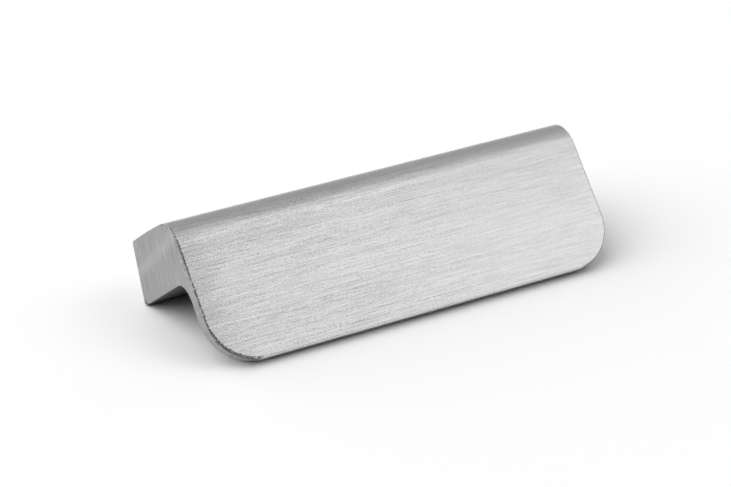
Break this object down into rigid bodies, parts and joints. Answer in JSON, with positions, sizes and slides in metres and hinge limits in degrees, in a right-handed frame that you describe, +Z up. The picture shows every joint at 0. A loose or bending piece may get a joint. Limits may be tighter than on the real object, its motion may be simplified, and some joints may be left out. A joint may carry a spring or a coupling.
{
  "type": "furniture handle",
  "caption": "Brushed aluminium cabinet and drawer pull in one solid piece: a screw-on block with a rounded top edge and a slanted finger flange with round lower corners.",
  "frame": {"origin": "middle of the footprint, on the floor that the handle lies on unheld", "axes": "+X along the handle, -Y towards the front of the flange, +Z up; the mounting face looks back (+Y) and leans 21.3 degrees, because the handle lies on its lower rear edge and on the tip of its flange"},
  "size_m": [0.12, 0.0508, 0.0299],
  "materials": {
    "brushed_aluminium": "bare aluminium brushed along its length, satin, with fine scratches"
  },
  "bodies": {
    "root": {"pull_handle": "brushed_aluminium"}
  },
  "joints": []
}
